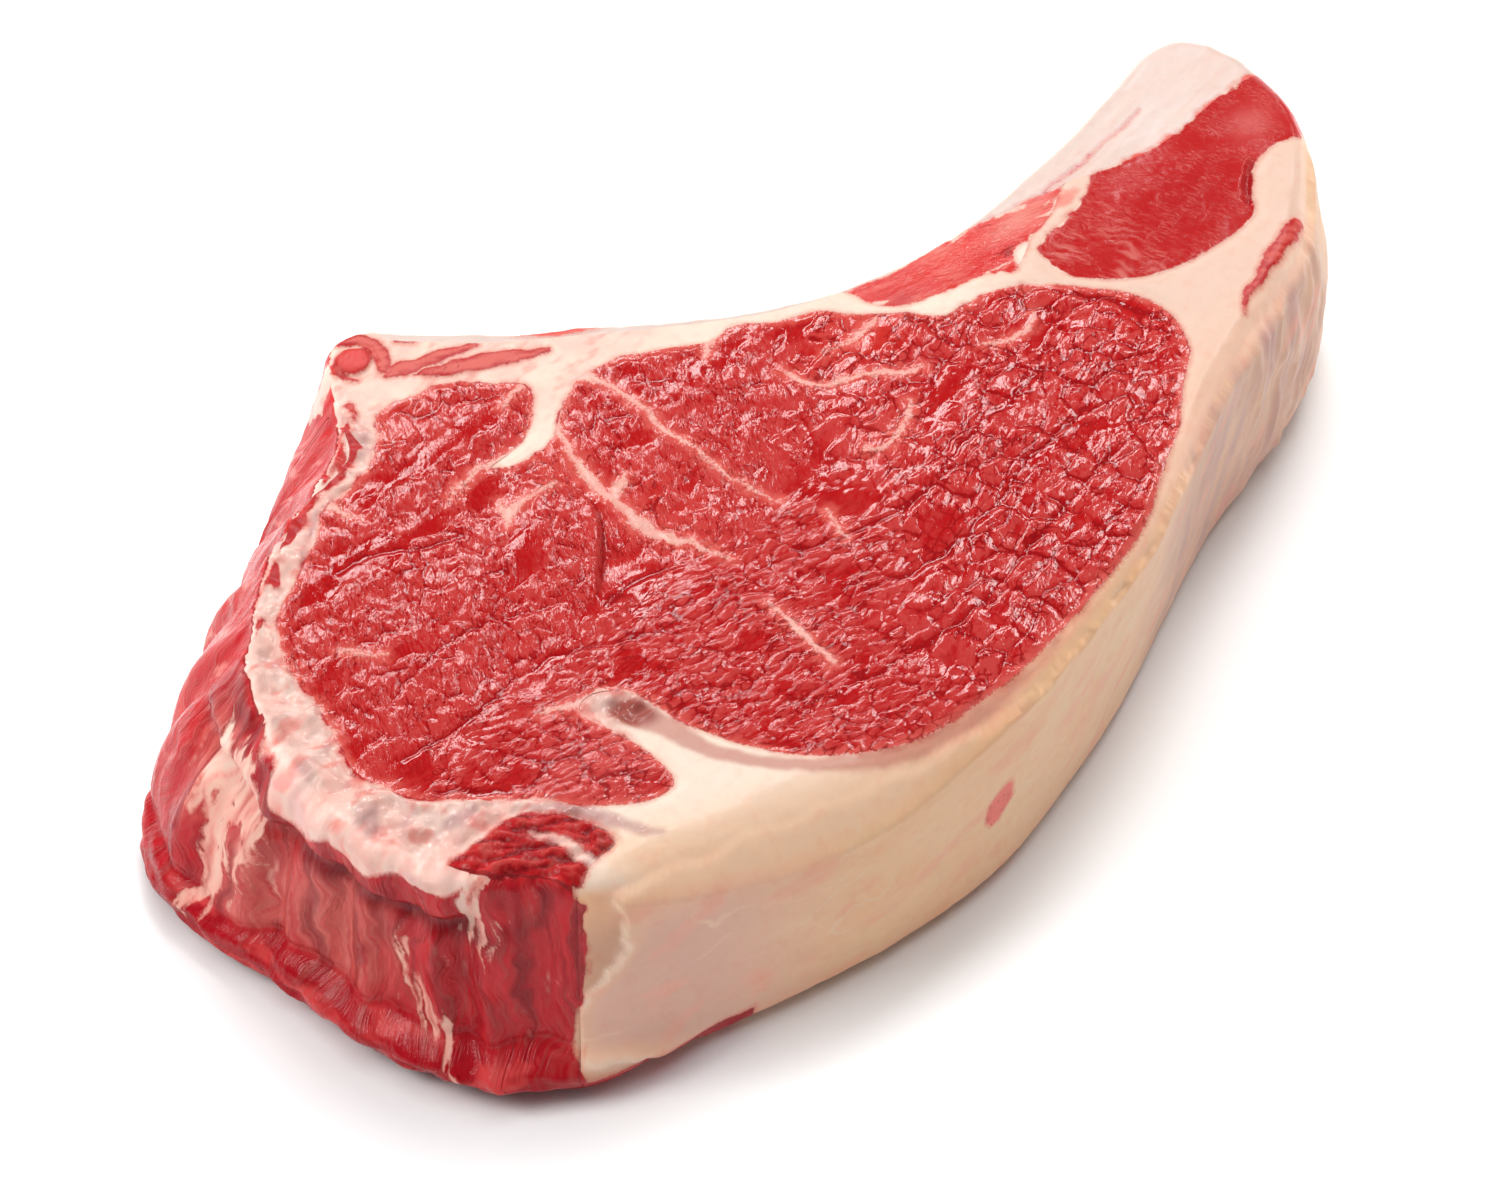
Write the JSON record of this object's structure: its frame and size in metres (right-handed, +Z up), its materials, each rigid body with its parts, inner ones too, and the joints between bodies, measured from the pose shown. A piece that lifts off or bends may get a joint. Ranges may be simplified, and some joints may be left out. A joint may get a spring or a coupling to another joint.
{
  "type": "bone-in rib steak",
  "caption": "Thick raw beef steak on the rib: a red eye ringed by cream fat, a ragged side muscle and a cleaned rib bone that stands out at one end.",
  "frame": {"origin": "on the lower cut face, under the middle of the part's box", "axes": "+Z up through the steak's thickness, +X along the rib towards its cleaned tip, -Y towards the fat cap"},
  "size_m": [0.2786, 0.1587, 0.0493],
  "materials": {
    "lean": "raw red muscle, moist and finely grained",
    "fat": "firm cream fat, satin",
    "side_lean": "dark red ragged muscle, moist",
    "bone": "pinkish white cleaned bone with its thin skin, satin",
    "pale_lean": "paler orange-red muscle, moist",
    "tail_lean": "dark red muscle, moist"
  },
  "bodies": {
    "root": {"rib_eye": "lean", "fat_cover": "fat", "side_muscle": "side_lean", "rib_bone": "bone", "intercostal_muscle": "pale_lean", "tail_muscle": "tail_lean"}
  },
  "joints": []
}
